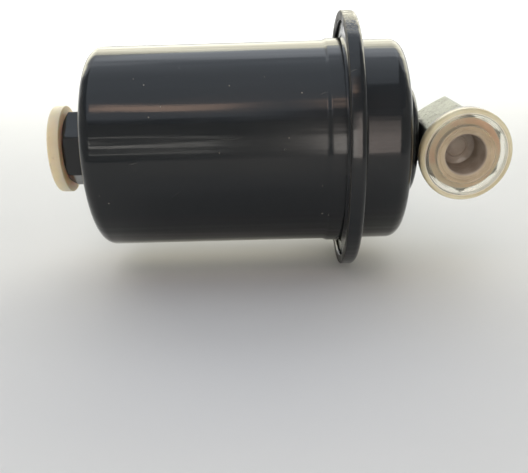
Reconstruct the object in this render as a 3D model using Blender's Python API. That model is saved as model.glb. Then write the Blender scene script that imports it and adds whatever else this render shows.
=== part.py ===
"""In-line fuel filter: a painted steel can with a rolled seam, lying on its side.

+X runs along the can from the inlet end to the outlet end, +Z is up and the
outlet port looks along -Y.  The origin is on the can's axis, half way along
the deep-drawn body, where a band clamp holds the filter.
"""
import math

import bmesh
import bpy
from mathutils import Matrix, Vector

# ---------------------------------------------------------------- sizes, in millimetres
MM = 0.001
GAP = 0.3                    # clearance between pieces that touch
SEGMENTS = 48                # facets around the can
SMALL_SEGMENTS = 32          # facets around ports, plugs and the inner pieces
SMOOTH_ANGLE = 30            # degrees; steeper edges stay sharp
OVERRUN = 1.0                # how far a cutter passes the faces that it opens

# Sheet-metal can
SHEET = 1.2
BODY_RADIUS = 36.0
BODY_LENGTH = 92.0           # closed end to seam
BODY_SHOULDER = 5.0
SWAGE_RISE = 0.6             # the body is swaged out beside the seam
SWAGE_LENGTH = 8.8
SWAGE_SLOPE = 2.0
COVER_STEP = 0.1             # the cover is this much smaller than the body in radius
COVER_LENGTH = 19.1          # seam to the cover's end face
COVER_SHOULDER = 5.0
PLATEAU_RADIUS = 20.0        # raised round pad that the outlet neck stands on
PLATEAU_HEIGHT = 4.7
PLATEAU_EDGE = 2.4
FLANGE_WIDTH = 9.7           # from the body's wall out to the seam's rim
FLANGE_FILLET = 1.5
HEM_RETURN = 3.3             # how far the cover's rim folds back over the body's flange
RIM_EDGE_COVER = 2.0
RIM_EDGE_BODY = 1.0
GASKET_THICKNESS = 0.8
GASKET_START = 0.1           # seam to the gasket's nearer face

# Ports: hexagons with an M18 x 1.5 thread, modelled as plain bores of the minor diameter
HEX_ACROSS_FLATS = 24.0
HEX_CHAMFER = 1.1
PORT_RADIUS = 8.2
PORT_DEPTH = 17.0
PORT_COUNTERSINK = 0.9
PASSAGE_RADIUS = 4.0
INLET_BOSS_LENGTH = 11.2
INLET_SPIGOT_RADIUS = 10.8
INLET_FLOOR = 2.2            # metal left behind the inlet bore
OUTLET_OFFSET = 38.6         # seam to the outlet port's axis
BLOCK_FRONT = 21.6           # can axis to the outlet port's face
BLOCK_BACK = 11.9            # can axis to the block's closed end
PILOT_RADIUS = 4.5
PILOT_OVERRUN = 4.5          # the pilot drill stops this far past the can's axis
NECK_RADIUS = 8.0
NECK_SPIGOT_RADIUS = 6.0
NECK_SPIGOT_LENGTH = 3.3
NECK_COLLAR = 2.2
NECK_FLANGE = 3.4
NECK_SOCKET_LENGTH = 6.0
NECK_SOCKET_WALL = 1.5

# Push-in dust plugs
PLUG_THICKNESS = 4.4
PLUG_OVERHANG = 1.9          # how far the flange stands out past the hexagon's corners
PLUG_EDGE = 0.9
PLUG_BACK_EDGE = 0.3
PLUG_SHANK_LENGTH = 10.4
PLUG_WALL = 1.1
PLUG_FLOOR = 1.2
PLUG_TAPER = 0.5
PLUG_RECESS_RADIUS = 9.7
PLUG_RECESS_DEPTH = 0.8
PLUG_LIP = 0.6

# Filter element
ELEMENT_MARGIN = 4.6         # ring of free space between the pleats and the can's inner wall
CORE_MARGIN = 2.2            # from the core tube to the pleats' inner folds
PAPER_PLEATS = 36
PAPER_BAND = 3.6             # radial width of the folded band, about 0.5 mm of paper
CAP_SHEET = 0.6
CAP_RIM = 5.0
CAP_STANDOFF = 6.4           # from the outlet cap to the mouth of the neck's socket
POTTING = 2.2
CORE_RADIUS = 13.4
CORE_WALL = 0.7
CORE_HOLE_RADIUS = 2.0
CORE_HOLE_ROWS = 4
CORE_HOLES_AROUND = 6
CORE_DRILL_DEPTH = 4.2
CORE_DRILL_SEGMENTS = 8
SPIGOT_RADIUS = 6.6
SPIGOT_WALL = 0.9
GROMMET_WALL = 1.2
GROMMET_LENGTH = 3.2
CLIP_WIDTH = 5.0
CLIP_THICKNESS = 0.5
CENTRING_RING_WIDTH = 4.0
CENTRING_TABS = 6
BAFFLE_SHEET = 0.8
BAFFLE_RADIUS = 22.0
BAFFLE_HEIGHT = 8.0
BAFFLE_WINDOW_WIDTH = 9.0
BAFFLE_WINDOW_HEIGHT = 4.0
SEAT_SHEET = 0.8
SEAT_RIM = 2.4
SEAT_HOLE_RADIUS = 5.0
SPRING_RADIUS = 11.0
SPRING_WIRE = 0.9
SPRING_TURNS = 3.5
SPRING_HEIGHT = 10.0
SPRING_STEPS = 16            # points in each turn of the coil

# ---------------------------------------------------------------- places that follow from them
SEAM_X = BODY_LENGTH / 2
BODY_END_X = SEAM_X - BODY_LENGTH
COVER_RADIUS = BODY_RADIUS - COVER_STEP
RIM_RADIUS = BODY_RADIUS + FLANGE_WIDTH
HEM_INNER_RADIUS = RIM_RADIUS - SHEET

# The seam's layers, stacked along +X from the body's flange to the cover's
GASKET_X = SEAM_X + GASKET_START
BODY_FLANGE_X = GASKET_X - GAP - SHEET
HEM_RETURN_X = BODY_FLANGE_X - GAP - SHEET
COVER_FLANGE_X = GASKET_X + GASKET_THICKNESS + GAP

COVER_END_X = SEAM_X + COVER_LENGTH
PLATEAU_X = COVER_END_X + PLATEAU_HEIGHT

HEX_CORNER_RADIUS = HEX_ACROSS_FLATS / math.sqrt(3)
INLET_FACE_X = BODY_END_X - GAP - INLET_BOSS_LENGTH
OUTLET_X = SEAM_X + OUTLET_OFFSET
BLOCK_FLAT_X = OUTLET_X - HEX_ACROSS_FLATS / 2
NECK_HOLE_RADIUS = NECK_RADIUS + GAP

GROMMET_INNER_RADIUS = SPIGOT_RADIUS + SPIGOT_WALL + GAP
SOCKET_RADIUS = GROMMET_INNER_RADIUS + GROMMET_WALL + GAP
NECK_INNER_FLANGE_X = PLATEAU_X - SHEET - GAP
SOCKET_FLOOR_X = NECK_INNER_FLANGE_X - SHEET
SOCKET_MOUTH_X = SOCKET_FLOOR_X - NECK_SOCKET_LENGTH

BAFFLE_X = BODY_END_X + SHEET + GAP
SEAT_X = BAFFLE_X + BAFFLE_HEIGHT + GAP
SPRING_X = SEAT_X + SEAT_SHEET + GAP
INLET_CAP_X = SPRING_X + SPRING_HEIGHT + GAP
OUTLET_CAP_X = SOCKET_MOUTH_X - CAP_STANDOFF
PAPER_START_X = INLET_CAP_X + CAP_SHEET + GAP + POTTING + GAP
PAPER_END_X = OUTLET_CAP_X - CAP_SHEET - GAP - POTTING - GAP
PAPER_OUTER_RADIUS = BODY_RADIUS - SHEET - ELEMENT_MARGIN
PAPER_INNER_RADIUS = CORE_RADIUS + CORE_MARGIN
CAP_RADIUS = PAPER_OUTER_RADIUS + GAP + CAP_SHEET


# ---------------------------------------------------------------- building tools
def clear_scene():
    """Start from an empty scene."""
    for thing in list(bpy.data.objects):
        bpy.data.objects.remove(thing, do_unlink=True)


def material(name, colour, roughness, metallic=0.0):
    """A plain Principled material."""
    mat = bpy.data.materials.new(name)
    mat.use_nodes = True
    shader = mat.node_tree.nodes["Principled BSDF"]
    shader.inputs["Base Color"].default_value = (*colour, 1.0)
    shader.inputs["Roughness"].default_value = roughness
    shader.inputs["Metallic"].default_value = metallic
    return mat


def arc(centre_x, centre_r, radius, start, end, steps):
    """Points of an arc in the (x, r) plane; angles in degrees from +X towards +r."""
    points = []
    for i in range(steps + 1):
        angle = math.radians(start + (end - start) * i / steps)
        points.append((centre_x + radius * math.cos(angle), centre_r + radius * math.sin(angle)))
    return points


def finish(name, bm, mat):
    """Turn a bmesh, drawn in millimetres, into a shaded object in metres."""
    bmesh.ops.scale(bm, vec=Vector((MM, MM, MM)), verts=bm.verts)
    bmesh.ops.recalc_face_normals(bm, faces=bm.faces)
    mesh = bpy.data.meshes.new(name)
    bm.to_mesh(mesh)
    bm.free()
    mesh.shade_smooth()
    mesh.set_sharp_from_angle(angle=math.radians(SMOOTH_ANGLE))
    if mat:
        mesh.materials.append(mat)
    thing = bpy.data.objects.new(name, mesh)
    bpy.context.scene.collection.objects.link(thing)
    return thing


def turned(name, outline, mat, segments=SMALL_SEGMENTS):
    """A solid turned about +X from (x, r) points; an outline from axis to axis stays open."""
    bm = bmesh.new()
    verts = [bm.verts.new((x, 0.0, r)) for x, r in outline]
    edges = [bm.edges.new(pair) for pair in zip(verts, verts[1:])]
    if outline[0][1] > 0:
        edges.append(bm.edges.new((verts[-1], verts[0])))
    bmesh.ops.spin(bm, geom=verts + edges, cent=(0, 0, 0), axis=(1, 0, 0), angle=2 * math.pi,
                   steps=segments, use_merge=True, use_duplicate=False)
    bmesh.ops.remove_doubles(bm, verts=bm.verts, dist=1e-4)
    return finish(name, bm, mat)


def ring_prism(name, start_x, end_x, inner_radii, outer_radii, mat):
    """A ring from start_x to end_x whose radii change from one corner to the next."""
    bm = bmesh.new()
    count = len(inner_radii)
    loops = []
    corners = [(start_x, inner_radii), (start_x, outer_radii), (end_x, outer_radii), (end_x, inner_radii)]
    for x, radii in corners:
        loop = []
        for i, radius in enumerate(radii):
            angle = 2 * math.pi * i / count
            loop.append(bm.verts.new((x, radius * math.sin(angle), radius * math.cos(angle))))
        loops.append(loop)
    for a, b in zip(loops, loops[1:] + loops[:1]):
        for i in range(count):
            j = (i + 1) % count
            bm.faces.new((a[i], a[j], b[j], b[i]))
    return finish(name, bm, mat)


def hexagon(name, start_x, end_x):
    """A hexagonal bar about +X with corners up and down, so flats face +Y and -Y."""
    bm = bmesh.new()
    ends = []
    for x in (start_x, end_x):
        ring = []
        for i in range(6):
            angle = math.radians(60 * i)
            y = HEX_CORNER_RADIUS * math.sin(angle)
            z = HEX_CORNER_RADIUS * math.cos(angle)
            ring.append(bm.verts.new((x, y, z)))
        ends.append(ring)
    for i in range(6):
        j = (i + 1) % 6
        bm.faces.new((ends[0][i], ends[0][j], ends[1][j], ends[1][i]))
    bm.faces.new(ends[0])
    bm.faces.new(ends[1])
    return finish(name, bm, None)


def box(name, size, centre, mat=None):
    """An axis-aligned block."""
    bm = bmesh.new()
    bmesh.ops.create_cube(bm, size=1.0)
    bmesh.ops.scale(bm, vec=Vector(size), verts=bm.verts)
    bmesh.ops.translate(bm, vec=Vector(centre), verts=bm.verts)
    return finish(name, bm, mat)


def hide_tool(tool):
    """Mark an object as a cutter and keep it out of the model."""
    tool.hide_render = True
    tool.display_type = 'WIRE'


def cut(target, tool, operation='DIFFERENCE'):
    """Cut target with tool; both are still in the frame they were drawn in."""
    modifier = target.modifiers.new(tool.name, 'BOOLEAN')
    modifier.operation = operation
    modifier.object = tool
    tool.parent = target
    hide_tool(tool)


def place(thing, x, turn=0.0, y=0.0):
    """Put a finished piece in the can's frame, turned about +Z by whole degrees."""
    thing.location = (x * MM, y * MM, 0.0)
    thing.rotation_euler = (0.0, 0.0, math.radians(turn))


# ---------------------------------------------------------------- the can
def body_shell(mat):
    """Deep-drawn can with a closed inlet end, a swaged mouth and a flat flange."""
    inner = BODY_RADIUS - SHEET
    hole = INLET_SPIGOT_RADIUS + GAP
    shoulder_x = BODY_END_X + BODY_SHOULDER
    shoulder_r = BODY_RADIUS - BODY_SHOULDER
    swage_end = SEAM_X - SWAGE_LENGTH
    swage_start = swage_end - SWAGE_SLOPE
    mouth = BODY_RADIUS + SWAGE_RISE
    bend_x = BODY_FLANGE_X - FLANGE_FILLET
    bend_r = mouth + FLANGE_FILLET
    flange_r = HEM_INNER_RADIUS - GAP
    outline = [(BODY_END_X, hole)]
    outline += arc(shoulder_x, shoulder_r, BODY_SHOULDER, 180, 90, 4)
    outline += [(swage_start, BODY_RADIUS), (swage_end, mouth)]
    outline += arc(bend_x, bend_r, FLANGE_FILLET, -90, 0, 2)
    outline += [(BODY_FLANGE_X, flange_r), (BODY_FLANGE_X + SHEET, flange_r)]
    outline += arc(bend_x, bend_r, FLANGE_FILLET + SHEET, 0, -90, 3)
    outline += [(swage_end, mouth - SHEET), (swage_start, inner)]
    outline += arc(shoulder_x, shoulder_r, BODY_SHOULDER - SHEET, 90, 180, 4)
    outline += [(BODY_END_X + SHEET, hole)]
    return turned("body_shell", outline, mat, SEGMENTS)


def cover_shell(mat):
    """Pressed cover with a raised pad; its rim folds around the body's flange."""
    shoulder_x = COVER_END_X - COVER_SHOULDER
    shoulder_r = COVER_RADIUS - COVER_SHOULDER
    pad_x = PLATEAU_X - PLATEAU_EDGE
    pad_r = PLATEAU_RADIUS - PLATEAU_EDGE
    flange_x = COVER_FLANGE_X + SHEET
    bend_x = flange_x + FLANGE_FILLET
    bend_r = COVER_RADIUS + FLANGE_FILLET
    outline = [(PLATEAU_X, NECK_HOLE_RADIUS)]
    outline += arc(pad_x, pad_r, PLATEAU_EDGE, 0, 90, 3)
    outline += [(COVER_END_X, PLATEAU_RADIUS)]
    outline += arc(shoulder_x, shoulder_r, COVER_SHOULDER, 0, 90, 4)
    outline += arc(bend_x, bend_r, FLANGE_FILLET, 270, 180, 2)
    outline += arc(flange_x - RIM_EDGE_COVER, RIM_RADIUS - RIM_EDGE_COVER, RIM_EDGE_COVER, 0, 90, 3)
    outline += arc(HEM_RETURN_X + RIM_EDGE_BODY, RIM_RADIUS - RIM_EDGE_BODY, RIM_EDGE_BODY, 90, 180, 2)
    outline += [(HEM_RETURN_X, RIM_RADIUS - HEM_RETURN), (HEM_RETURN_X + SHEET, RIM_RADIUS - HEM_RETURN)]
    outline += [(HEM_RETURN_X + SHEET, HEM_INNER_RADIUS), (COVER_FLANGE_X, HEM_INNER_RADIUS)]
    outline += arc(bend_x, bend_r, FLANGE_FILLET + SHEET, 180, 270, 3)
    outline += arc(shoulder_x, shoulder_r, COVER_SHOULDER - SHEET, 90, 0, 4)
    outline += [(COVER_END_X - SHEET, PLATEAU_RADIUS - SHEET), (pad_x, PLATEAU_RADIUS - SHEET)]
    outline += [(PLATEAU_X - SHEET, pad_r), (PLATEAU_X - SHEET, NECK_HOLE_RADIUS)]
    return turned("cover_shell", outline, mat, SEGMENTS)


def seam_gasket(mat):
    """Flat ring squeezed between the two flanges."""
    inner = BODY_RADIUS + SWAGE_RISE + FLANGE_FILLET
    outer = HEM_INNER_RADIUS - 2 * GAP
    end = GASKET_X + GASKET_THICKNESS
    outline = [(GASKET_X, inner), (GASKET_X, outer), (end, outer), (end, inner)]
    return turned("seam_gasket", outline, mat, SEGMENTS)


# ---------------------------------------------------------------- ports
def port_mouth():
    """The outline that both ports share: the bore's mouth and the chamfered face, with +X outwards."""
    return [(-PORT_COUNTERSINK, PORT_RADIUS), (0.0, PORT_RADIUS + PORT_COUNTERSINK),
            (0.0, HEX_ACROSS_FLATS / 2), (-HEX_CHAMFER, HEX_CORNER_RADIUS + GAP)]


def inlet_boss(mat):
    """Hexagonal threaded boss whose spigot is brazed into the can's closed end."""
    back = -INLET_BOSS_LENGTH
    inside = -PORT_DEPTH - INLET_FLOOR
    outline = port_mouth()
    outline += [(back, HEX_CORNER_RADIUS + GAP), (back, INLET_SPIGOT_RADIUS), (inside, INLET_SPIGOT_RADIUS)]
    outline += [(inside, PASSAGE_RADIUS), (-PORT_DEPTH, PASSAGE_RADIUS), (-PORT_DEPTH, PORT_RADIUS)]
    boss = turned("inlet_boss", outline, mat, SEGMENTS)
    cut(boss, hexagon("inlet_hexagon", inside - OVERRUN, OVERRUN), 'INTERSECT')
    place(boss, INLET_FACE_X, turn=180)
    return boss


def outlet_block(mat):
    """Hexagonal bar across the end of the can, drilled for the outlet port and the neck."""
    back = -BLOCK_FRONT - BLOCK_BACK
    blank_radius = HEX_CORNER_RADIUS + GAP
    pilot_end = -BLOCK_FRONT - PILOT_OVERRUN
    outline = [(pilot_end, 0.0), (pilot_end, PILOT_RADIUS), (-PORT_DEPTH, PILOT_RADIUS)]
    outline += [(-PORT_DEPTH, PORT_RADIUS)] + port_mouth()
    outline += [(back + HEX_CHAMFER, blank_radius), (back, HEX_ACROSS_FLATS / 2), (back, 0.0)]
    block = turned("outlet_block", outline, mat, SEGMENTS)
    cut(block, hexagon("outlet_hexagon", back - OVERRUN, OVERRUN), 'INTERSECT')
    flat = HEX_ACROSS_FLATS / 2
    seat = flat - NECK_SPIGOT_LENGTH - GAP
    seat_radius = NECK_SPIGOT_RADIUS + GAP
    bore = [(0.0, 0.0), (0.0, PASSAGE_RADIUS), (seat, PASSAGE_RADIUS), (seat, seat_radius)]
    bore += [(flat + OVERRUN, seat_radius), (flat + OVERRUN, 0.0)]
    drill = turned("neck_drill", bore, None)
    # In the block's own frame the can's axis crosses BLOCK_FRONT behind the port's face.
    drill.location = (-BLOCK_FRONT * MM, 0.0, 0.0)
    drill.rotation_euler = (0.0, 0.0, math.radians(-90))
    cut(block, drill)
    place(block, OUTLET_X, turn=-90, y=-BLOCK_FRONT)
    return block


def outlet_neck(mat):
    """Short tube brazed through the cover's pad; its inner end is the socket for the element."""
    outside = BLOCK_FLAT_X - GAP
    collar_x = PLATEAU_X + GAP
    tip = outside + NECK_SPIGOT_LENGTH
    socket_outer = SOCKET_RADIUS + NECK_SOCKET_WALL
    flange_r = NECK_RADIUS + NECK_FLANGE
    outline = [(SOCKET_MOUTH_X, SOCKET_RADIUS), (SOCKET_MOUTH_X, socket_outer)]
    outline += [(SOCKET_FLOOR_X, socket_outer), (SOCKET_FLOOR_X, flange_r)]
    outline += [(NECK_INNER_FLANGE_X, flange_r), (NECK_INNER_FLANGE_X, NECK_RADIUS)]
    outline += [(collar_x, NECK_RADIUS), (collar_x, NECK_RADIUS + NECK_COLLAR)]
    outline += [(outside, NECK_RADIUS), (outside, NECK_SPIGOT_RADIUS)]
    outline += [(tip, NECK_SPIGOT_RADIUS), (tip, PASSAGE_RADIUS)]
    outline += [(SOCKET_FLOOR_X, PASSAGE_RADIUS), (SOCKET_FLOOR_X, SOCKET_RADIUS)]
    return turned("outlet_neck", outline, mat)


def plug(name, mat):
    """Push-in dust plug: a round flange on a hollow shank, with +X outwards."""
    outer = HEX_CORNER_RADIUS + PLUG_OVERHANG
    shank = PORT_RADIUS - GAP
    hollow = shank - PLUG_WALL
    floor = -PLUG_SHANK_LENGTH + PLUG_FLOOR
    lip_x = PLUG_THICKNESS - PLUG_RECESS_DEPTH
    tip = -PLUG_SHANK_LENGTH
    outline = [(floor, 0.0), (floor, hollow - PLUG_TAPER)]
    outline += [(lip_x - PLUG_LIP, hollow), (lip_x, hollow + PLUG_LIP)]
    outline += [(lip_x, PLUG_RECESS_RADIUS), (PLUG_THICKNESS, PLUG_RECESS_RADIUS)]
    outline += arc(PLUG_THICKNESS - PLUG_EDGE, outer - PLUG_EDGE, PLUG_EDGE, 0, 90, 2)
    outline += [(GAP + PLUG_BACK_EDGE, outer), (GAP, outer - PLUG_BACK_EDGE)]
    outline += [(GAP, shank), (tip + PLUG_LIP, shank), (tip, shank - PLUG_LIP), (tip, 0.0)]
    return turned(name, outline, mat)


def inlet_plug(mat):
    """Plug in the inlet port; it pulls out along -X."""
    piece = plug("inlet_plug", mat)
    place(piece, INLET_FACE_X, turn=180)
    return piece


def outlet_plug(mat):
    """Plug in the outlet port; it pulls out along -Y."""
    piece = plug("outlet_plug", mat)
    place(piece, OUTLET_X, turn=-90, y=-BLOCK_FRONT)
    return piece


# ---------------------------------------------------------------- inside the can
def inlet_baffle(mat):
    """Cup welded over the inlet; its windows send the fuel sideways."""
    end = BAFFLE_X + BAFFLE_HEIGHT
    inner = BAFFLE_RADIUS - BAFFLE_SHEET
    outline = [(end, 0.0), (end, BAFFLE_RADIUS), (BAFFLE_X, BAFFLE_RADIUS), (BAFFLE_X, inner),
               (end - BAFFLE_SHEET, inner), (end - BAFFLE_SHEET, 0.0)]
    cup = turned("inlet_baffle", outline, mat)
    for i, angle in enumerate((0, 60, 120)):
        size = (BAFFLE_WINDOW_HEIGHT, BAFFLE_WINDOW_WIDTH, 2 * (BAFFLE_RADIUS + OVERRUN))
        window = box("baffle_window_%d" % (i + 1), size, (0, 0, 0))
        window.location = ((BAFFLE_X + BAFFLE_HEIGHT / 2 - BAFFLE_SHEET / 2) * MM, 0.0, 0.0)
        window.rotation_euler = (math.radians(angle), 0.0, 0.0)
        cut(cup, window)
    return cup


def spring_seat(mat):
    """Washer with a rim that centres the spring on the baffle."""
    rim_inner = SPRING_RADIUS + SPRING_WIRE + GAP
    rim_outer = rim_inner + SEAT_SHEET
    floor_x = SEAT_X + SEAT_SHEET
    rim_x = SEAT_X + SEAT_RIM
    outline = [(SEAT_X, SEAT_HOLE_RADIUS), (SEAT_X, rim_outer), (rim_x, rim_outer), (rim_x, rim_inner),
               (floor_x, rim_inner), (floor_x, SEAT_HOLE_RADIUS)]
    return turned("spring_seat", outline, mat)


def element_spring(mat):
    """Coil spring that pushes the element towards the outlet."""
    curve = bpy.data.curves.new("element_spring", 'CURVE')
    curve.dimensions = '3D'
    curve.bevel_depth = SPRING_WIRE * MM
    curve.bevel_resolution = 1
    curve.use_fill_caps = True
    steps = int(SPRING_TURNS * SPRING_STEPS)
    line = curve.splines.new('POLY')
    line.points.add(steps)
    start = SPRING_X + SPRING_WIRE
    rise = SPRING_HEIGHT - 2 * SPRING_WIRE
    for i, point in enumerate(line.points):
        angle = 2 * math.pi * SPRING_TURNS * i / steps
        x = start + rise * i / steps
        y = SPRING_RADIUS * math.sin(angle)
        z = SPRING_RADIUS * math.cos(angle)
        point.co = (x * MM, y * MM, z * MM, 1.0)
    curve.materials.append(mat)
    thing = bpy.data.objects.new("element_spring", curve)
    bpy.context.scene.collection.objects.link(thing)
    return thing


def inlet_end_cap(mat):
    """Closed pressed cap at the element's inlet end."""
    rim = CAP_RADIUS - CAP_SHEET
    inner_x = INLET_CAP_X + CAP_SHEET
    lip_x = INLET_CAP_X + CAP_RIM
    outline = [(INLET_CAP_X, 0.0), (INLET_CAP_X, CAP_RADIUS), (lip_x, CAP_RADIUS), (lip_x, rim),
               (inner_x, rim), (inner_x, 0.0)]
    return turned("element_inlet_cap", outline, mat)


def outlet_end_cap(mat):
    """Pressed cap at the element's outlet end, with the spigot that enters the neck's socket."""
    rim = CAP_RADIUS - CAP_SHEET
    face = OUTLET_CAP_X - CAP_SHEET
    spigot_outer = SPIGOT_RADIUS + SPIGOT_WALL
    tip = SOCKET_FLOOR_X - 2 * GAP
    lip_x = OUTLET_CAP_X - CAP_RIM
    outline = [(OUTLET_CAP_X, CAP_RADIUS), (OUTLET_CAP_X, spigot_outer)]
    outline += [(tip, spigot_outer), (tip, SPIGOT_RADIUS), (face, SPIGOT_RADIUS), (face, rim)]
    outline += [(lip_x, rim), (lip_x, CAP_RADIUS)]
    return turned("element_outlet_cap", outline, mat)


def pleated_paper(mat):
    """Pleated paper pack as one folded band."""
    tips = [PAPER_OUTER_RADIUS, PAPER_INNER_RADIUS + PAPER_BAND]
    outer = tips * PAPER_PLEATS
    inner = [radius - PAPER_BAND for radius in outer]
    return ring_prism("pleated_paper", PAPER_START_X, PAPER_END_X, inner, outer, mat)


def core_tube(mat):
    """Perforated tube that carries the pleats."""
    start = INLET_CAP_X + CAP_SHEET + GAP
    end = OUTLET_CAP_X - CAP_SHEET - GAP
    inner = CORE_RADIUS - CORE_WALL
    outline = [(start, inner), (start, CORE_RADIUS), (end, CORE_RADIUS), (end, inner)]
    tube = turned("core_tube", outline, mat, 4 * CORE_HOLES_AROUND)
    bm = bmesh.new()
    pitch = (end - start) / (CORE_HOLE_ROWS + 1)
    for row in range(CORE_HOLE_ROWS):
        for i in range(CORE_HOLES_AROUND):
            angle = 2 * math.pi * (i + 0.5) / CORE_HOLES_AROUND
            turn = Matrix.Rotation(angle, 4, 'X')
            shift = Matrix.Translation((start + pitch * (row + 1), 0.0, CORE_RADIUS))
            bmesh.ops.create_cone(bm, cap_ends=True, segments=CORE_DRILL_SEGMENTS,
                                  radius1=CORE_HOLE_RADIUS, radius2=CORE_HOLE_RADIUS,
                                  depth=CORE_DRILL_DEPTH, matrix=turn @ shift)
    cut(tube, finish("core_drills", bm, None))
    return tube


def potting_ring(name, start, mat):
    """Adhesive disc that seals the pleats to an end cap."""
    inner = CORE_RADIUS + GAP
    outer = CAP_RADIUS - CAP_SHEET - GAP
    end = start + POTTING
    return turned(name, [(start, inner), (start, outer), (end, outer), (end, inner)], mat)


def pleat_clip(mat):
    """Metal strip that closes the paper's lengthways seam."""
    start = INLET_CAP_X + CAP_RIM + GAP
    end = OUTLET_CAP_X - CAP_RIM - GAP
    size = (end - start, CLIP_WIDTH, CLIP_THICKNESS)
    height = PAPER_OUTER_RADIUS + GAP + CLIP_THICKNESS / 2
    return box("pleat_clip", size, ((start + end) / 2, 0.0, -height), mat)


def centring_ring(mat):
    """Ring on the outlet cap whose tabs keep the element in the middle of the can."""
    around = CENTRING_TABS * 4
    # The ring's flats, not its corners, have to clear the round cap.
    inner = (CAP_RADIUS + GAP) / math.cos(math.pi / around)
    ring = inner + CAP_SHEET
    tab = COVER_RADIUS - SHEET - GAP
    outer = []
    for i in range(around):
        outer.append(tab if i % 4 < 2 else ring)
    start = OUTLET_CAP_X - CAP_RIM
    end = start + CENTRING_RING_WIDTH
    return ring_prism("element_centring_ring", start, end, [inner] * around, outer, mat)


def outlet_grommet(mat):
    """Rubber ring between the element's spigot and the neck's socket."""
    start = SOCKET_MOUTH_X + GAP
    end = start + GROMMET_LENGTH
    outer = GROMMET_INNER_RADIUS + GROMMET_WALL
    outline = [(start, GROMMET_INNER_RADIUS), (start, outer), (end, outer), (end, GROMMET_INNER_RADIUS)]
    return turned("outlet_grommet", outline, mat)


def main():
    clear_scene()
    paint = material("black_paint", (0.012, 0.012, 0.014), 0.22)
    zinc = material("zinc_plate", (0.62, 0.62, 0.58), 0.42, 1.0)
    plain_steel = material("plain_steel", (0.42, 0.42, 0.43), 0.40, 1.0)
    spring_steel = material("spring_steel", (0.30, 0.30, 0.31), 0.35, 1.0)
    rubber = material("black_rubber", (0.02, 0.02, 0.02), 0.70)
    inlet_plastic = material("cream_polyethylene", (0.74, 0.62, 0.42), 0.45)
    outlet_plastic = material("tan_polyethylene", (0.66, 0.52, 0.36), 0.40)
    paper = material("filter_paper", (0.78, 0.66, 0.40), 0.90)
    adhesive = material("potting_adhesive", (0.35, 0.20, 0.08), 0.50)

    body_shell(paint)
    cover_shell(paint)
    seam_gasket(rubber)
    inlet_boss(paint)
    inlet_plug(inlet_plastic)
    outlet_block(zinc)
    outlet_neck(paint)
    outlet_plug(outlet_plastic)
    inlet_baffle(plain_steel)
    spring_seat(plain_steel)
    element_spring(spring_steel)
    inlet_end_cap(plain_steel)
    outlet_end_cap(plain_steel)
    pleated_paper(paper)
    core_tube(plain_steel)
    potting_ring("potting_ring_inlet", INLET_CAP_X + CAP_SHEET + GAP, adhesive)
    potting_ring("potting_ring_outlet", OUTLET_CAP_X - CAP_SHEET - GAP - POTTING, adhesive)
    pleat_clip(plain_steel)
    centring_ring(plain_steel)
    outlet_grommet(rubber)


main()
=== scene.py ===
"""Looks of the in-line fuel filter: fine surfaces, materials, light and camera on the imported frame."""
import math

import bmesh
import bpy
from mathutils import Matrix, Vector


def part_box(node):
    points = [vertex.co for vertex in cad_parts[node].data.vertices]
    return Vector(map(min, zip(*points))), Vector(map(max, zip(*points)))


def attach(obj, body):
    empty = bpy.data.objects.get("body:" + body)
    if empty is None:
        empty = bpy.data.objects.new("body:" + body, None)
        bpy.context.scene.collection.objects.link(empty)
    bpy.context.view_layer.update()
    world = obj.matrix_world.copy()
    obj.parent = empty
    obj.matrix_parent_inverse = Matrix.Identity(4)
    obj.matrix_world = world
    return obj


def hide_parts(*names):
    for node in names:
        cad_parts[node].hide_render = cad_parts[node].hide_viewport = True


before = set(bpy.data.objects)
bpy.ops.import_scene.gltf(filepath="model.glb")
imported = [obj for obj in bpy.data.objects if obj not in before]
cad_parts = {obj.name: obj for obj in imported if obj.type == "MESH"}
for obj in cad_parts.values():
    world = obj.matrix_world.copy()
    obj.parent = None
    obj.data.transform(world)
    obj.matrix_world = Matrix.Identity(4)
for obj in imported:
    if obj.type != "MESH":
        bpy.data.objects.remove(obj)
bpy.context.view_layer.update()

MM = 0.001

# ---------------------------------------------------------------- sizes in millimetres
# The big sizes are read from the CAD nodes. The rest repeat the CAD's named values, except for the
# pad's edge, the rim's edge on the body's side and the neck's hidden socket, which differ by under 0.5 mm.
body_low, body_high = (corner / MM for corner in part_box("body_shell"))
cover_low, cover_high = (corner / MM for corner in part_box("cover_shell"))
boss_low, boss_high = (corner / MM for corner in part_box("inlet_boss"))
block_low, block_high = (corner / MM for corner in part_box("outlet_block"))
neck_low, neck_high = (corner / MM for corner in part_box("outlet_neck"))

GAP = 0.3
SHEET = 1.2
BODY_RADIUS = 36.0
BODY_SHOULDER = 5.0
SWAGE_RISE = 0.6
SWAGE_LENGTH = 8.8
SWAGE_SLOPE = 2.0
COVER_RADIUS = 35.9
COVER_SHOULDER = 5.0
PAD_RADIUS = 20.0
PAD_HEIGHT = 4.7
PAD_EDGE = 2.6
FILLET = 1.5
HEM_RETURN = 3.3
RIM_EDGE_COVER = 2.0
RIM_EDGE_BODY = 0.55
HEX_FLATS = 24.0
HEX_CORNER = HEX_FLATS / math.sqrt(3)
HEX_CHAMFER = 1.1
PORT_RADIUS = 8.2
PORT_DEPTH = 17.0
COUNTERSINK = 0.9
THREAD_PITCH = 1.5
THREAD_DEPTH = 0.8
LINER_RADIUS = PORT_RADIUS + THREAD_DEPTH + 0.3
PASSAGE_RADIUS = 4.0
NECK_RADIUS = 8.0
NECK_COLLAR = 2.2
NECK_SPIGOT = 6.0
INLET_HOLE = 11.1
INLET_SPIGOT = 10.8
PILOT_RADIUS = 4.5
PILOT_LENGTH = 9.0
PILOT_POINT = 2.6
SOCKET_RADIUS = 9.5
SOCKET_OUTER = 10.9

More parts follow.
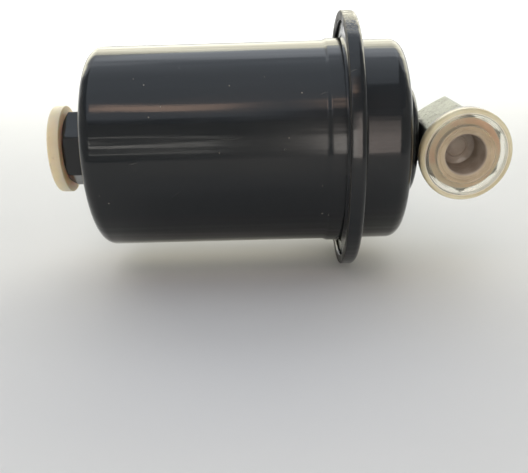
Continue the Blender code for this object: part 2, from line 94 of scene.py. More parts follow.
# Facets around each kind of piece, and rows along a curved edge
CAN_FACETS = 224
TUBE_FACETS = 96
PLUG_FACETS = 144
HEX_SIDE_FACETS = 40
CHAMFER_ROWS = 18
SWAGE_ROWS = 12

BODY_END = body_low.x
BODY_FLANGE = body_high.x
FLANGE_RADIUS = body_high.z
HEM_FACE = cover_low.x
PAD_FACE = cover_high.x
COVER_END = PAD_FACE - PAD_HEIGHT
RIM_RADIUS = cover_high.z
HEM_INNER = RIM_RADIUS - SHEET
COVER_FLANGE = BODY_FLANGE + 2 * GAP + 0.8
INLET_FACE = boss_low.x
OUTLET_X = (block_low.x + block_high.x) / 2
OUTLET_FACE = block_low.y
BLOCK_LENGTH = block_high.y - block_low.y


# ---------------------------------------------------------------- mesh tools
def arc(centre_x, centre_r, radius, start, end, steps=10):
    """Points of an arc in the (x, r) plane; angles in degrees from +X towards +r."""
    points = []
    for i in range(steps + 1):
        angle = math.radians(start + (end - start) * i / steps)
        points.append((centre_x + radius * math.cos(angle), centre_r + radius * math.sin(angle)))
    return points


def even_angles(count):
    """Angles all the way round."""
    return [2 * math.pi * i / count for i in range(count)]


def hex_angles():
    """Angles round a hexagon with corners up and down, close together at the corners."""
    angles = []
    for side in range(6):
        for i in range(HEX_SIDE_FACETS):
            t = 2 * i / HEX_SIDE_FACETS - 1
            across = math.copysign(1 - (1 - abs(t)) ** 2.2, t)
            angles.append(math.radians(60 * side + 30 + 30 * across))
    return angles


def soft_min(a, b, width):
    """The smaller of two lengths, with the corner between them rounded over width."""
    near = max(width - abs(a - b), 0.0) / width
    return min(a, b) - near * near * width / 4


def hex_radius(angle):
    """Distance from the axis to a hexagon with softly rounded corners."""
    corner_round = 0.45
    reach = []
    for side in range(6):
        facing = math.cos(angle - math.radians(60 * side + 30))
        reach.append(HEX_FLATS / 2 / max(facing, 0.2))
    reach.sort()
    return soft_min(reach[0], reach[1], corner_round)


def lathe(name, stations, angles, close=True):
    """A solid about +X from stations (x, radius) or (x, radius, 'hex'); radius 0 makes a pole."""
    bm = bmesh.new()
    rings = []
    for station in stations:
        x, radius = station[:2]
        if radius == 0:
            rings.append([bm.verts.new((x, 0, 0))])
            continue
        ring = []
        for angle in angles:
            r = soft_min(radius, hex_radius(angle), 0.25) if len(station) == 3 else radius
            ring.append(bm.verts.new((x, r * math.sin(angle), r * math.cos(angle))))
        rings.append(ring)
    pairs = list(zip(rings, rings[1:]))
    if close and len(rings[0]) > 1:
        pairs.append((rings[-1], rings[0]))
    count = len(angles)
    for a, b in pairs:
        for i in range(count):
            j = (i + 1) % count
            if len(a) == 1:
                bm.faces.new((a[0], b[j], b[i]))
            elif len(b) == 1:
                bm.faces.new((a[i], a[j], b[0]))
            else:
                bm.faces.new((a[i], a[j], b[j], b[i]))
    return finish_mesh(name, bm)


def finish_mesh(name, bm, sharp=32):
    """Millimetre bmesh to a smooth-shaded object in metres."""
    bmesh.ops.scale(bm, vec=Vector((MM, MM, MM)), verts=bm.verts)
    bmesh.ops.recalc_face_normals(bm, faces=bm.faces)
    mesh = bpy.data.meshes.new(name)
    bm.to_mesh(mesh)
    bm.free()
    mesh.shade_smooth()
    mesh.set_sharp_from_angle(angle=math.radians(sharp))
    piece = bpy.data.objects.new(name, mesh)
    bpy.context.scene.collection.objects.link(piece)
    return piece


def move(piece, turn, x, y):
    """Turn a piece about +Z and shift it, in its mesh, so that its object stays at the origin."""
    turned = Matrix.Rotation(math.radians(turn), 4, 'Z')
    piece.data.transform(Matrix.Translation((x * MM, y * MM, 0)) @ turned)


def to_inlet(piece):
    """From a port's own frame, +X outwards, to the inlet."""
    move(piece, 180, INLET_FACE, 0)


def to_outlet(piece):
    """From a port's own frame, +X outwards, to the outlet."""
    move(piece, -90, OUTLET_X, OUTLET_FACE)


def dress(piece, body, mat, slot, *nodes):
    """Give a piece its material and its body, and hide the CAD nodes that it stands for. The slot is not
    used.
    """
    piece.data.materials.clear()
    piece.data.materials.append(mat)
    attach(piece, body)
    if nodes:
        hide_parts(*nodes)


# ---------------------------------------------------------------- material tools
class Nodes:
    """A short way to write a Principled material's node tree."""

    def __init__(self, name):
        self.mat = bpy.data.materials.new(name)
        self.mat.use_nodes = True
        self.tree = self.mat.node_tree
        self.shader = self.tree.nodes["Principled BSDF"]
        self.coords = self.tree.nodes.new('ShaderNodeTexCoord')

    def set(self, **values):
        for name, value in values.items():
            self.shader.inputs[name.replace("_", " ")].default_value = value

    def node(self, kind, **inputs):
        node = self.tree.nodes.new(kind)
        for name, value in inputs.items():
            self.feed(node.inputs[name.replace("_", " ")], value)
        return node

    def feed(self, socket, value):
        if isinstance(value, bpy.types.NodeSocket):
            self.tree.links.new(value, socket)
        else:
            socket.default_value = value

    def link(self, value, name):
        self.feed(self.shader.inputs[name], value)

    def place(self, scale=(1, 1, 1)):
        """Object coordinates in metres, stretched per axis."""
        mapping = self.node('ShaderNodeMapping', Vector=self.coords.outputs["Object"])
        mapping.inputs["Scale"].default_value = scale
        return mapping.outputs[0]

    def noise(self, scale, detail=3.0, rough=0.5, stretch=(1, 1, 1), distortion=0.0):
        node = self.node('ShaderNodeTexNoise', Vector=self.place(stretch), Scale=scale, Detail=detail,
                         Roughness=rough, Distortion=distortion)
        return node.outputs["Fac"]

    def cells(self, scale, stretch=(1, 1, 1), output="Distance"):
        node = self.node('ShaderNodeTexVoronoi', Vector=self.place(stretch), Scale=scale)
        return node.outputs[output]

    def ramp(self, value, low, high, out_low=0.0, out_high=1.0):
        node = self.tree.nodes.new('ShaderNodeMapRange')
        node.clamp = True
        node.interpolation_type = 'SMOOTHSTEP'
        ends = {"From Min": low, "From Max": high, "To Min": out_low, "To Max": out_high}
        for name, number in ends.items():
            node.inputs[name].default_value = number
        self.feed(node.inputs["Value"], value)
        return node.outputs["Result"]

    def math(self, operation, a, b=0.0):
        node = self.tree.nodes.new('ShaderNodeMath')
        node.operation = operation
        self.feed(node.inputs[0], a)
        self.feed(node.inputs[1], b)
        return node.outputs[0]

    def mix(self, factor, a, b):
        node = self.tree.nodes.new('ShaderNodeMix')
        node.data_type = 'RGBA'
        self.feed(node.inputs[0], factor)
        self.feed(node.inputs[6], (*a, 1) if isinstance(a, tuple) else a)
        self.feed(node.inputs[7], (*b, 1) if isinstance(b, tuple) else b)
        return node.outputs[2]

    def bump(self, height, distance, strength=1.0, normal=None):
        node = self.node('ShaderNodeBump', Height=height, Distance=distance, Strength=strength)
        if normal is not None:
            self.feed(node.inputs["Normal"], normal)
        return node.outputs[0]

    def from_point(self, x=0.0, y=0.0, z=0.0):
        """The three coordinates, in millimetres, measured from a point given in millimetres."""
        node = self.tree.nodes.new('ShaderNodeMapping')
        node.inputs["Location"].default_value = (-x, -y, -z)
        node.inputs["Scale"].default_value = (1000, 1000, 1000)
        self.feed(node.inputs["Vector"], self.coords.outputs["Object"])
        parts = self.node('ShaderNodeSeparateXYZ', Vector=node.outputs[0])
        return parts.outputs[0], parts.outputs[1], parts.outputs[2]

    def length(self, a, b):
        """Root of the sum of two squares."""
        squares = self.math('ADD', self.math('MULTIPLY', a, a), self.math('MULTIPLY', b, b))
        return self.math('SQRT', squares)

    def wobble(self, value, amount, scale, detail=3.0):
        """A value shifted to and fro by noise."""
        shift = self.math('MULTIPLY', self.math('SUBTRACT', self.noise(scale, detail), 0.5), 2 * amount)
        return self.math('ADD', value, shift)

    def band(self, value, low, high, soft):
        """One between low and high, nought outside, with soft edges."""
        rise = self.ramp(value, low - soft, low + soft)
        fall = self.ramp(value, high - soft, high + soft, 1.0, 0.0)
        return self.math('MULTIPLY', rise, fall)


# ---------------------------------------------------------------- materials
def black_enamel(name, rim_wear_and_highlight=False):
    """Glossy black enamel: orange peel, drawing lines along the can, dust, scratches, and rim wear with a
    painted highlight.
    """
    n = Nodes(name)
    specks = n.ramp(n.cells(300.0), 0.085, 0.045)
    dust = n.math('MULTIPLY', specks, n.ramp(n.noise(62.0, 1.0), 0.56, 0.61, 0.0, 0.8))
    film = n.noise(30.0, 4.0, 0.6, (0.3, 1, 1))
    hair = n.ramp(n.math('ABSOLUTE', n.math('SUBTRACT', n.noise(46.0, 2.0, 0.5, (0.35, 1, 1), 1.2), 0.5)),
                  0.0022, 0.0008)
    scratch = n.math('MULTIPLY', hair, n.ramp(n.noise(85.0, 2.0), 0.62, 0.68, 0.0, 0.20))
    mask = n.math('MAXIMUM', dust, scratch)
    colour = n.mix(n.ramp(film, 0.35, 0.7), (0.0045, 0.0060, 0.0072), (0.0095, 0.0100, 0.0102))
    colour = n.mix(mask, colour, (0.40, 0.37, 0.31))
    rough = n.math('ADD', n.ramp(film, 0.3, 0.75, 0.10, 0.24), n.math('MULTIPLY', mask, 0.3))
    if rim_wear_and_highlight:
        x, y, z = n.from_point()
        edge = n.ramp(n.wobble(n.length(y, z), 0.9, 240.0), RIM_RADIUS - 0.75, RIM_RADIUS + 0.15)
        patch = n.ramp(n.noise(520.0, 4.0, 0.7), 0.47, 0.56)
        # Rim wear mixed with a painted highlight: mottled cream only on the rim's edge along its top,
        # where light from behind catches it.
        place = n.ramp(n.wobble(z, 5.0, 70.0), 39.0, 45.0)
        wear_and_highlight = n.math('MULTIPLY', n.math('MULTIPLY', edge, patch), place)
        lip = n.math('MULTIPLY', n.ramp(x, HEM_FACE + 0.35, HEM_FACE + 0.05),
                     n.ramp(n.noise(160.0, 4.0, 0.6), 0.30, 0.62, 0.45, 1.0))
        colour = n.mix(lip, colour, (0.038, 0.034, 0.030))
        rough = n.math('ADD', rough, n.math('MULTIPLY', lip, 0.45))
        tone = n.mix(n.noise(700.0), (0.52, 0.49, 0.38), (0.22, 0.19, 0.14))
        colour = n.mix(wear_and_highlight, colour, tone)
        rough = n.math('ADD', rough, n.math('MULTIPLY', wear_and_highlight, 0.4))
    n.link(colour, "Base Color")
    n.link(rough, "Roughness")
    n.set(IOR=1.5)
    waves = n.bump(n.noise(42.0, 2.0, 0.6, (0.06, 1, 1)), 0.00060)
    ridges = n.bump(n.noise(120.0, 2.0, 0.6, (0.045, 1, 1)), 0.00030, 1.0, waves)
    drawn = n.bump(n.noise(330.0, 3.0, 0.6, (0.03, 1, 1)), 0.00004, 1.0, ridges)
    peel = n.bump(n.noise(900.0, 2.0, 0.5), 0.000008, 1.0, drawn)
    n.link(n.bump(dust, 0.00006, 1.0, peel), "Normal")
    return n.mat


def zinc_plate():
    """Dull zinc on cut steel: grey-cream grain, small dark pits and painted shade on the flat facing the
    can.
    """
    n = Nodes("zinc_plate")
    grain = n.noise(1100.0, 4.0, 0.75)
    cloud = n.noise(150.0, 4.0, 0.65)
    pits = n.math('MULTIPLY', n.ramp(n.cells(760.0), 0.36, 0.16), n.ramp(n.noise(240.0, 2.0), 0.50, 0.62))
    tone = n.mix(n.ramp(cloud, 0.3, 0.7), (0.29, 0.30, 0.27), (0.41, 0.42, 0.38))
    tone = n.mix(n.ramp(grain, 0.40, 0.50, 0.55, 0.0), tone, (0.09, 0.088, 0.075))
    tone = n.mix(n.math('MULTIPLY', pits, 0.85), tone, (0.040, 0.036, 0.028))
    x, y, z = n.from_point(OUTLET_X)
    # Painted shade: the flat facing the can is coloured near-black and not metallic, darkest round the
    # neck where the pad shades it.
    across = n.wobble(x, 1.6, 260.0, 4.0)
    painted_shade_by_neck = n.math('MULTIPLY', n.ramp(across, -HEX_FLATS / 2 + 1.8, -HEX_FLATS / 2 + 0.4),
                   n.ramp(n.wobble(n.length(y, z), 2.0, 200.0), 15.0, 9.5))
    n.link(n.mix(painted_shade_by_neck, tone, (0.012, 0.012, 0.013)), "Base Color")
    n.link(n.ramp(grain, 0.3, 0.7, 0.42, 0.62), "Roughness")
    n.link(n.ramp(painted_shade_by_neck, 0.0, 1.0, 0.72, 0.0), "Metallic")
    rough = n.bump(grain, 0.00003)
    n.link(n.bump(pits, -0.00006, 1.0, rough), "Normal")
    return n.mat


def cream_plastic():
    """Cream polyethylene: cloudy, waxy, a little soiled where it was handled."""
    n = Nodes("cream_polyethylene")
    cloud = n.noise(75.0, 3.0, 0.55)
    tone = n.mix(n.ramp(cloud, 0.3, 0.7), (0.84, 0.73, 0.53), (0.75, 0.63, 0.43))
    soil = n.ramp(n.noise(190.0, 4.0, 0.7), 0.60, 0.72, 0.0, 0.45)
    n.link(n.mix(soil, tone, (0.42, 0.31, 0.19)), "Base Color")
    n.link(n.ramp(n.noise(240.0, 3.0), 0.3, 0.7, 0.32, 0.48), "Roughness")
    n.set(IOR=1.51, Subsurface_Weight=0.85, Subsurface_Scale=0.006)
    n.shader.inputs["Subsurface Radius"].default_value = (1.0, 0.7, 0.4)
    n.link(n.bump(n.noise(420.0, 3.0, 0.6), 0.00004), "Normal")
    return n.mat


def tan_plastic():
    """Thin translucent polyethylene: clear in front, tinted where its back rests on the port's face."""
    n = Nodes("tan_polyethylene")
    x, y, z = n.from_point(OUTLET_X, OUTLET_FACE)
    radius = n.length(x, z)
    cloud = n.noise(110.0, 3.0, 0.55)

    front = n.mix(n.ramp(cloud, 0.3, 0.7), (1.0, 0.95, 0.83), (0.95, 0.87, 0.72))
    rim = n.mix(n.ramp(cloud, 0.3, 0.7), (1.0, 0.89, 0.60), (0.95, 0.80, 0.50))
    lip = n.mix(n.ramp(cloud, 0.35, 0.65), (0.74, 0.60, 0.41), (0.62, 0.49, 0.33))
    # Painted shade: the plug's hollow, inside 7 mm radius, is coloured a darker brown than the rest of the
    # plug.
    hollow = n.mix(n.ramp(n.noise(130.0, 3.0), 0.35, 0.65), (0.50, 0.42, 0.34), (0.36, 0.29, 0.23))
    tone = n.mix(n.ramp(radius, 10.0, 9.8), front, lip)
    tone = n.mix(n.ramp(radius, 7.5, 7.0), tone, hollow)
    tone = n.mix(n.ramp(radius, 13.9, 14.4), tone, rim)

    seat = n.mix(n.ramp(n.noise(60.0, 2.0), 0.38, 0.62), (1.0, 0.66, 0.46), (1.0, 0.88, 0.66))
    stained = n.mix(n.ramp(n.wobble(radius, 0.2, 120.0), 11.9, 12.6), seat, (0.90, 0.93, 0.90))
    stained = n.mix(n.ramp(radius, 10.3, 9.7), stained, (0.62, 0.55, 0.44))
    behind = n.math('MULTIPLY', n.ramp(y, -0.9, -0.4), n.ramp(radius, 8.3, 8.6))
    n.link(n.mix(behind, tone, stained), "Base Color")
    n.link(n.ramp(n.noise(260.0, 3.0), 0.3, 0.7, 0.10, 0.18), "Roughness")
    thin = n.math('MAXIMUM', n.band(radius, 9.9, 13.9, 0.25), n.ramp(radius, 13.9, 14.4, 0.0, 0.35))
    clear = n.math('MULTIPLY', n.ramp(thin, 0.0, 1.0, 0.25, 0.93), n.ramp(radius, 7.0, 7.6, 0.3, 1.0))
    seated = n.ramp(n.math('MULTIPLY', behind, n.ramp(radius, 12.6, 12.1)), 0.0, 1.0, 1.0, 0.0)
    n.link(n.math('MULTIPLY', clear, seated), "Transmission Weight")
    n.set(IOR=1.46)
    rings = n.node('ShaderNodeTexNoise', Vector=n.node('ShaderNodeCombineXYZ', X=radius).outputs[0],
                   Scale=2.2, Detail=2.0)
    turned = n.bump(rings.outputs["Fac"], 0.00010)
    n.link(n.bump(n.noise(420.0, 3.0, 0.6), 0.00003, 1.0, turned), "Normal")
    return n.mat


def bare_steel(name, light, dark, rough_low, rough_high):
    """Pressed or drawn steel with rolling marks and a little tarnish."""
    n = Nodes(name)
    streak = n.noise(500.0, 3.0, 0.6, (0.05, 1, 1))
    cloud = n.noise(60.0, 4.0, 0.6)
    n.link(n.mix(n.ramp(cloud, 0.3, 0.7), light, dark), "Base Color")
    n.link(n.ramp(streak, 0.3, 0.7, rough_low, rough_high), "Roughness")
    n.set(Metallic=1.0)
    n.link(n.bump(streak, 0.000015), "Normal")
    return n.mat


def soft_rubber():
    """Black nitrile rubber with a fine matt skin."""
    n = Nodes("nitrile_rubber")
    n.link(n.mix(n.noise(200.0), (0.012, 0.012, 0.012), (0.03, 0.03, 0.029)), "Base Color")
    n.link(n.ramp(n.noise(500.0), 0.3, 0.7, 0.55, 0.75), "Roughness")
    n.link(n.bump(n.noise(1500.0), 0.00002), "Normal")
    return n.mat


def filter_paper():
    """Resin-treated cellulose: fibres and a yellow-brown tone."""
    n = Nodes("filter_paper")
    fibre = n.noise(1400.0, 5.0, 0.7, (1, 1, 0.3))
    n.link(n.mix(n.ramp(fibre, 0.3, 0.7), (0.80, 0.66, 0.38), (0.66, 0.50, 0.26)), "Base Color")
    n.link(n.ramp(fibre, 0.3, 0.7, 0.80, 0.95), "Roughness")
    n.link(n.bump(fibre, 0.00005), "Normal")
    return n.mat


def adhesive():
    """Cured brown potting resin."""
    n = Nodes("potting_resin")
    cloud = n.noise(110.0, 3.0)
    n.link(n.mix(cloud, (0.36, 0.20, 0.08), (0.24, 0.12, 0.045)), "Base Color")
    n.link(n.ramp(cloud, 0.3, 0.7, 0.28, 0.45), "Roughness")
    n.link(n.bump(cloud, 0.0002), "Normal")
    return n.mat


# ---------------------------------------------------------------- the can
def can_body():
    """Drawn body: shoulder, straight wall, swaged mouth and flange, inside and out."""
    shoulder_x = BODY_END + BODY_SHOULDER
    shoulder_r = BODY_RADIUS - BODY_SHOULDER
    swage_end = BODY_FLANGE + SHEET + 0.2 - SWAGE_LENGTH
    swage_start = swage_end - SWAGE_SLOPE
    face = HEM_FACE + SHEET + 0.02
    mouth = BODY_RADIUS + SWAGE_RISE
    bend_x = face - FILLET
    bend_r = mouth + FILLET
    outline = [(BODY_END, INLET_HOLE)]
    outline += arc(shoulder_x, shoulder_r, BODY_SHOULDER, 180, 90, 16)
    for i in range(SWAGE_ROWS + 1):
        t = i / SWAGE_ROWS
        rise = SWAGE_RISE * (3 * t * t - 2 * t * t * t)
        outline.append((swage_start + SWAGE_SLOPE * t, BODY_RADIUS + rise))
    outline += arc(bend_x, bend_r, FILLET, -90, 0, 10)
    outline += [(face, FLANGE_RADIUS), (BODY_FLANGE, FLANGE_RADIUS)]
    outline += arc(bend_x, bend_r, FILLET + SHEET, 0, -90, 8)
    outline += [(swage_end, mouth - SHEET), (swage_start, BODY_RADIUS - SHEET)]
    outline += arc(shoulder_x, shoulder_r, BODY_SHOULDER - SHEET, 90, 180, 8)
    outline += [(BODY_END + SHEET, INLET_HOLE)]
    return lathe("can_body", outline, even_angles(CAN_FACETS))


def can_cover():
    """Pressed cover with its raised pad, and the rim folded round the body's flange."""
    shoulder_x = COVER_END - COVER_SHOULDER
    shoulder_r = COVER_RADIUS - COVER_SHOULDER
    pad_x = PAD_FACE - PAD_EDGE
    pad_r = PAD_RADIUS - PAD_EDGE
    flange = COVER_FLANGE + SHEET
    bend_x = flange + FILLET
    bend_r = COVER_RADIUS + FILLET
    hole = NECK_RADIUS + GAP
    foot = 0.9
    outline = [(PAD_FACE, hole)]
    outline += arc(pad_x, pad_r, PAD_EDGE, 0, 90, 12)
    outline += arc(COVER_END + foot, PAD_RADIUS + foot, foot, 270, 180, 6)[::1]
    outline += arc(shoulder_x, shoulder_r, COVER_SHOULDER, 0, 90, 16)
    outline += arc(bend_x, bend_r, FILLET, 270, 180, 8)
    outline += arc(flange - RIM_EDGE_COVER, RIM_RADIUS - RIM_EDGE_COVER, RIM_EDGE_COVER, 0, 90, 10)
    outline += arc(HEM_FACE + RIM_EDGE_BODY, RIM_RADIUS - RIM_EDGE_BODY, RIM_EDGE_BODY, 90, 180, 8)
    lip = 0.58
    lip_r = RIM_RADIUS - HEM_RETURN + lip
    outline += arc(HEM_FACE + lip, lip_r, lip, 180, 270, 7)
    outline += arc(HEM_FACE + SHEET - lip, lip_r, lip, 270, 360, 4)
    outline += [(HEM_FACE + SHEET, HEM_INNER), (COVER_FLANGE, HEM_INNER)]
    outline += arc(bend_x, bend_r, FILLET + SHEET, 180, 270, 8)
    outline += arc(shoulder_x, shoulder_r, COVER_SHOULDER - SHEET, 90, 0, 8)
    outline += [(COVER_END - SHEET, PAD_RADIUS - SHEET), (pad_x, PAD_RADIUS - SHEET)]
    outline += [(PAD_FACE - SHEET, pad_r), (PAD_FACE - SHEET, hole)]
    return lathe("can_cover", outline, even_angles(CAN_FACETS))


# ---------------------------------------------------------------- ports
def chamfered_face():
    """Stations of a hexagon's chamfered end, from the bore's mouth outwards; +X outwards."""
    mouth = PORT_RADIUS + COUNTERSINK
    stations = [(-COUNTERSINK, LINER_RADIUS), (-COUNTERSINK * 0.02, LINER_RADIUS)]
    stations += [(0.0, LINER_RADIUS + 0.15), (0.0, (mouth + HEX_FLATS / 2) / 2)]
    stations += [(0.0, HEX_FLATS / 2 - 0.15)]
    for i in range(CHAMFER_ROWS + 1):
        t = i / CHAMFER_ROWS
        radius = HEX_FLATS / 2 + (HEX_CORNER - HEX_FLATS / 2) * t
        stations.append((-0.04 - HEX_CHAMFER * t, radius, 'hex'))
    return stations


def inlet_hex_boss():
    """Black hexagonal boss on the closed end."""
    back = BODY_END - GAP - INLET_FACE
    inside = boss_high.x - INLET_FACE
    stations = chamfered_face()
    stations += [(-back + 0.4, HEX_CORNER + 1, 'hex'), (-back, HEX_CORNER + 1, 'hex')]
    stations += [(-back, INLET_SPIGOT), (-inside, INLET_SPIGOT)]
    stations += [(-inside, PASSAGE_RADIUS), (-PORT_DEPTH, PASSAGE_RADIUS), (-PORT_DEPTH, LINER_RADIUS)]
    boss = lathe("inlet_hex_boss", stations, hex_angles())
    to_inlet(boss)
    return boss


def outlet_hex_block():
    """Zinc-plated hexagonal bar with the outlet port."""
    pilot = PORT_DEPTH + PILOT_LENGTH
    stations = [(-pilot, 0.0), (-pilot + PILOT_POINT, PILOT_RADIUS), (-PORT_DEPTH, PILOT_RADIUS)]
    stations += [(-PORT_DEPTH, LINER_RADIUS)]
    stations += chamfered_face()
    for i in range(CHAMFER_ROWS + 1):
        t = i / CHAMFER_ROWS
        radius = HEX_CORNER + (HEX_FLATS / 2 - HEX_CORNER) * t
        stations.append((-BLOCK_LENGTH + HEX_CHAMFER * (1 - t) + 0.04, radius, 'hex'))
    stations += [(-BLOCK_LENGTH, HEX_FLATS / 2 - 0.2), (-BLOCK_LENGTH, 0.0)]
    block = lathe("outlet_hex_block", stations, hex_angles())
    to_outlet(block)
    return block


def thread_liner(name):
    """The threaded wall of a port: a tube whose inside follows an M18 x 1.5 helix."""
    around = TUBE_FACETS
    steps_per_turn = 12
    mouth = COUNTERSINK + 0.05
    length = PORT_DEPTH - mouth - 0.05
    rows = int(length / THREAD_PITCH * steps_per_turn)
    bm = bmesh.new()
    inner = []
    for row in range(rows + 1):
        x = -mouth - length * row / rows
        ring = []
        for i in range(around):
            angle = 2 * math.pi * i / around
            phase = (x / THREAD_PITCH + i / around) % 1.0
            groove = min(max(1.35 - abs(phase - 0.5) * 2 * 1.5, 0.0), 1.0)
            fade = min(1.0, row / steps_per_turn, (rows - row) / steps_per_turn)
            r = PORT_RADIUS + THREAD_DEPTH * groove * fade
            ring.append(bm.verts.new((x, r * math.sin(angle), r * math.cos(angle))))
        inner.append(ring)
    edge = []
    for x, r in ((-0.02, PORT_RADIUS + COUNTERSINK), (-0.02, LINER_RADIUS - 0.02),
                 (-PORT_DEPTH + 0.02, LINER_RADIUS - 0.02)):
        edge.append([bm.verts.new((x, r * math.sin(a), r * math.cos(a))) for a in even_angles(around)])
    rings = inner + edge[::-1]
    for a, b in zip(rings, rings[1:] + rings[:1]):
        for i in range(around):
            j = (i + 1) % around
            bm.faces.new((a[i], a[j], b[j], b[i]))
    return finish_mesh(name, bm, 40)


def neck_tube():
    """Neck between the pad and the block, with its brazed fillet."""
    outside = block_low.x - GAP
    foot = PAD_FACE + GAP
    tip = neck_high.x
    inner_flange = PAD_FACE - SHEET - GAP
    fillet = []
    for i in range(11):
        t = i / 10
        left = (1 - t) ** 2
        fillet.append((foot + (outside - foot) * (1 - left), NECK_RADIUS + NECK_COLLAR * left))
    flange_r = neck_high.z
    socket_floor = inner_flange - SHEET
    outline = [(neck_low.x, SOCKET_RADIUS), (neck_low.x, SOCKET_OUTER), (socket_floor, SOCKET_OUTER)]
    outline += [(socket_floor, flange_r), (inner_flange, flange_r), (inner_flange, NECK_RADIUS)]
    outline += [(foot, NECK_RADIUS)] + fillet
    outline += [(outside, NECK_SPIGOT), (tip, NECK_SPIGOT), (tip, PASSAGE_RADIUS)]
    outline += [(socket_floor, PASSAGE_RADIUS), (socket_floor, SOCKET_RADIUS)]
    return lathe("neck_tube", outline, even_angles(TUBE_FACETS))


# ---------------------------------------------------------------- plugs
def dust_plug(name):
    """Moulded push-in plug: round flange on a hollow ribbed shank; +X outwards."""
    thick = 4.4
    outer = HEX_CORNER + 1.9
    back = 0.06
    shank = PORT_RADIUS - GAP
    hollow = shank - 1.1
    tip = -10.4
    floor = tip + 1.2
    edge = 0.9
    recess = 9.7
    step = thick - 0.8
    outline = [(floor, 0.0), (floor, 3.1), (floor + 0.25, 3.3), (floor + 0.25, 3.7), (floor, 3.9)]
    outline += [(floor, hollow - 1.1), (floor + 0.25, hollow - 0.65), (floor + 0.7, hollow - 0.5)]
    outline += [(step - 1.9, hollow)]
    for i in range(7):
        a = math.radians(15 * i)
        outline.append((step - 0.9 * (1 - math.sin(a)), hollow + 0.9 * (1 - math.cos(a))))
    outline += [(step, 8.2), (step + 0.16, 8.38), (step + 0.16, 8.75), (step, 8.95)]
    outline += [(step, recess - 0.3), (step + 0.08, recess - 0.08), (step + 0.3, recess)]
    outline += [(thick - 0.12, recess + 0.04), (thick, recess + 0.22)]
    outline += [(thick, outer - 2.1), (thick - 0.14, outer - 1.9)]
    outline += [(thick - 0.14, outer - 1.5), (thick, outer - 1.3)]
    outline += arc(thick - edge, outer - edge, edge, 0, 90, 8)
    outline += [(back + 0.3, outer), (back + 0.08, outer - 0.08), (back, outer - 0.3), (back, shank)]
    for rib in range(4):
        x = -1.6 - 2.1 * rib
        outline += [(x + 0.5, shank), (x + 0.15, shank + 0.22), (x - 0.15, shank + 0.22), (x - 0.9, shank)]
    outline += [(tip + 0.7, shank), (tip + 0.2, shank - 0.25), (tip, shank - 0.7), (tip, 0.0)]
    return lathe(name, outline, even_angles(PLUG_FACETS))


# ---------------------------------------------------------------- stage, light and camera
def pale_floor():
    """Plain pale round floor under the rim; it sweeps up into a wall far away. Sizes in metres."""
    ground = -RIM_RADIUS * MM - 0.0002
    flat_radius = 1.8
    sweep = 0.8
    wall_top = 1.9
    facets = 96
    profile = [(radius, ground) for radius in (0.3, 1.0, flat_radius)]
    profile += [(radius, ground + z) for radius, z in arc(flat_radius, sweep, sweep, -90, 0, 16)]
    profile += [(flat_radius + sweep, ground + wall_top)]
    bm = bmesh.new()
    centre = bm.verts.new((0, 0, ground))
    rows = []
    for radius, z in profile:
        row = []
        for angle in even_angles(facets):
            row.append(bm.verts.new((radius * math.cos(angle), radius * math.sin(angle), z)))
        rows.append(row)
    for i in range(facets):
        bm.faces.new((centre, rows[0][i], rows[0][(i + 1) % facets]))
    for a, b in zip(rows, rows[1:]):
        for i in range(facets):
            j = (i + 1) % facets
            bm.faces.new((a[i], b[i], b[j], a[j]))
    mesh = bpy.data.meshes.new("floor")
    bm.to_mesh(mesh)
    bm.free()
    mesh.shade_smooth()
    floor = bpy.data.objects.new("floor", mesh)
    bpy.context.scene.collection.objects.link(floor)
    n = Nodes("pale_floor")
    n.link(n.mix(n.noise(14.0, 3.0), (0.74, 0.735, 0.725), (0.77, 0.765, 0.755)), "Base Color")
    n.set(Roughness=0.8, Specular_IOR_Level=0.2)
    floor.data.materials.append(n.mat)


def area_light(name, location, target, size_x, size_y, radiance, colour):
    """A rectangular soft light of a given brightness, aimed at a point."""
    data = bpy.data.lights.new(name, 'AREA')
    data.shape = 'RECTANGLE'
    data.size = size_x
    data.size_y = size_y
    data.energy = radiance * math.pi * size_x * size_y
    data.color = colour
    lamp = bpy.data.objects.new(name, data)
    lamp.location = location
    lamp.rotation_euler = (Vector(target) - Vector(location)).to_track_quat('-Z', 'Y').to_euler()
    lamp.visible_camera = False
    bpy.context.scene.collection.objects.link(lamp)
    return lamp


def lighting():
    """Soft surround, panels behind and above, and the strips and windows that shine in the paint."""
    warm = (1.0, 0.64, 0.44)
    world = bpy.data.worlds.new("studio")
    world.use_nodes = True
    sky = world.node_tree.nodes["Background"]
    sky.inputs["Color"].default_value = (0.84, 0.91, 1.0, 1)
    sky.inputs["Strength"].default_value = 0.36
    bpy.context.scene.world = world
    area_light("back_panel", (0.1, 0.95, 0.50), (0, 0, 0.02), 2.4, 0.50, 2.6, (1.0, 0.95, 0.72))
    area_light("backdrop_wash", (0.0, 1.1, 0.9), (0, 1.9, 0), 3.0, 0.7, 5.0, (1.0, 1.0, 1.0))
    area_light("upper_back", (0.05, 0.78, 0.98), (0, 0, 0), 2.6, 0.46, 0.80, (0.92, 0.95, 1.0))
    area_light("top_panel", (-0.15, 0.05, 1.2), (0, 0, 0), 3.0, 1.1, 0.72, (0.82, 0.90, 1.0))
    area_light("warm_strip_left", (-0.19, -0.50, 0.70), (-0.02, 0, 0), 0.22, 0.13, 3.6, warm)
    area_light("warm_strip_right", (0.10, -0.50, 0.71), (0.03, 0, 0), 0.10, 0.10, 3.2, warm)
    area_light("front_glow", (0.094, -0.85, 0.20), (0.03, 0, 0), 0.06, 0.36, 8.0, (1.0, 0.93, 0.86))
    area_light("front_window", (0.213, -0.85, 0.24), (0.05, 0, 0), 0.06, 0.52, 7.0, (1.0, 0.84, 0.76))
    for i, (height, radiance) in enumerate(((0.40, 2.2), (0.24, 4.0), (0.11, 2.4))):
        area_light("front_strip_%d" % (i + 1), (-0.34, -0.90, height), (-0.03, 0, 0), 0.45, 0.035,
                   radiance, (1.0, 0.96, 0.90))
    bpy.context.scene.view_settings.view_transform = 'Standard'


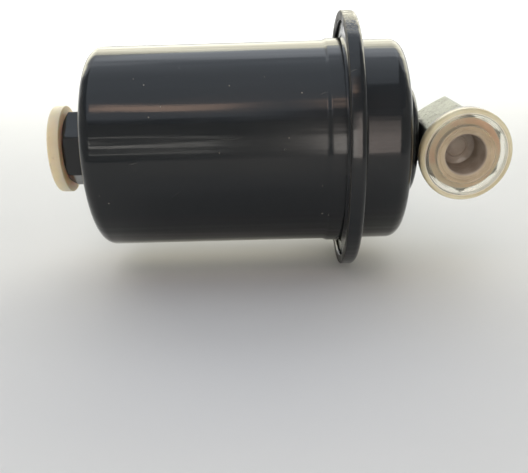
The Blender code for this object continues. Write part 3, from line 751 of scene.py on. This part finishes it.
def camera():
    """A hand-held view from in front and a little above, tilted a degree and a half."""
    data = bpy.data.cameras.new("camera")
    data.sensor_width = 36.0
    data.lens = 47.09
    data.shift_y = 0.12
    data.clip_start = 0.01
    cam = bpy.data.objects.new("camera", data)
    cam.location = (0.01737, -0.25979, 0.05943)
    cam.rotation_euler = [math.radians(angle) for angle in (64.37, 1.594, 0.066)]
    bpy.context.scene.collection.objects.link(cam)
    bpy.context.scene.camera = cam


def main():
    enamel = black_enamel("black_enamel")
    zinc = zinc_plate()
    cream = cream_plastic()
    tan = tan_plastic()
    steel = bare_steel("pressed_steel", (0.48, 0.48, 0.48), (0.36, 0.36, 0.36), 0.28, 0.42)
    spring = bare_steel("spring_wire", (0.34, 0.34, 0.35), (0.24, 0.24, 0.25), 0.25, 0.38)
    rubber = soft_rubber()
    paper = filter_paper()
    resin = adhesive()

    dress(can_body(), "filter", enamel, "black_paint", "body_shell")
    dress(can_cover(), "filter", black_enamel("rim_enamel", rim_wear_and_highlight=True), "black_paint", "cover_shell")
    dress(inlet_hex_boss(), "filter", enamel, "black_paint", "inlet_boss")
    dress(outlet_hex_block(), "filter", zinc, "zinc_plate", "outlet_block")
    dress(neck_tube(), "filter", enamel, "black_paint", "outlet_neck")
    for name, put, mat, slot in (("inlet_thread", to_inlet, steel, "plain_steel"),
                                 ("outlet_thread", to_outlet, zinc, "zinc_plate")):
        liner = thread_liner(name)
        put(liner)
        dress(liner, "filter", mat, slot)
    plug = dust_plug("inlet_dust_plug")
    to_inlet(plug)
    dress(plug, "inlet_cap", cream, "cream_plastic", "inlet_plug")
    plug = dust_plug("outlet_dust_plug")
    to_outlet(plug)
    dress(plug, "outlet_cap", tan, "tan_plastic", "outlet_plug")

    inner = {
        "seam_gasket": rubber,
        "outlet_grommet": rubber,
        "element_spring": spring,
        "pleated_paper": paper,
        "potting_ring_inlet": resin,
        "potting_ring_outlet": resin,
    }
    for name in ("inlet_baffle", "spring_seat", "element_inlet_cap", "element_outlet_cap", "core_tube",
                 "pleat_clip", "element_centring_ring"):
        inner[name] = steel
    for name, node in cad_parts.items():
        if name in inner:
            node.data.materials.clear()
            node.data.materials.append(inner[name])

    pale_floor()
    lighting()
    camera()


main()
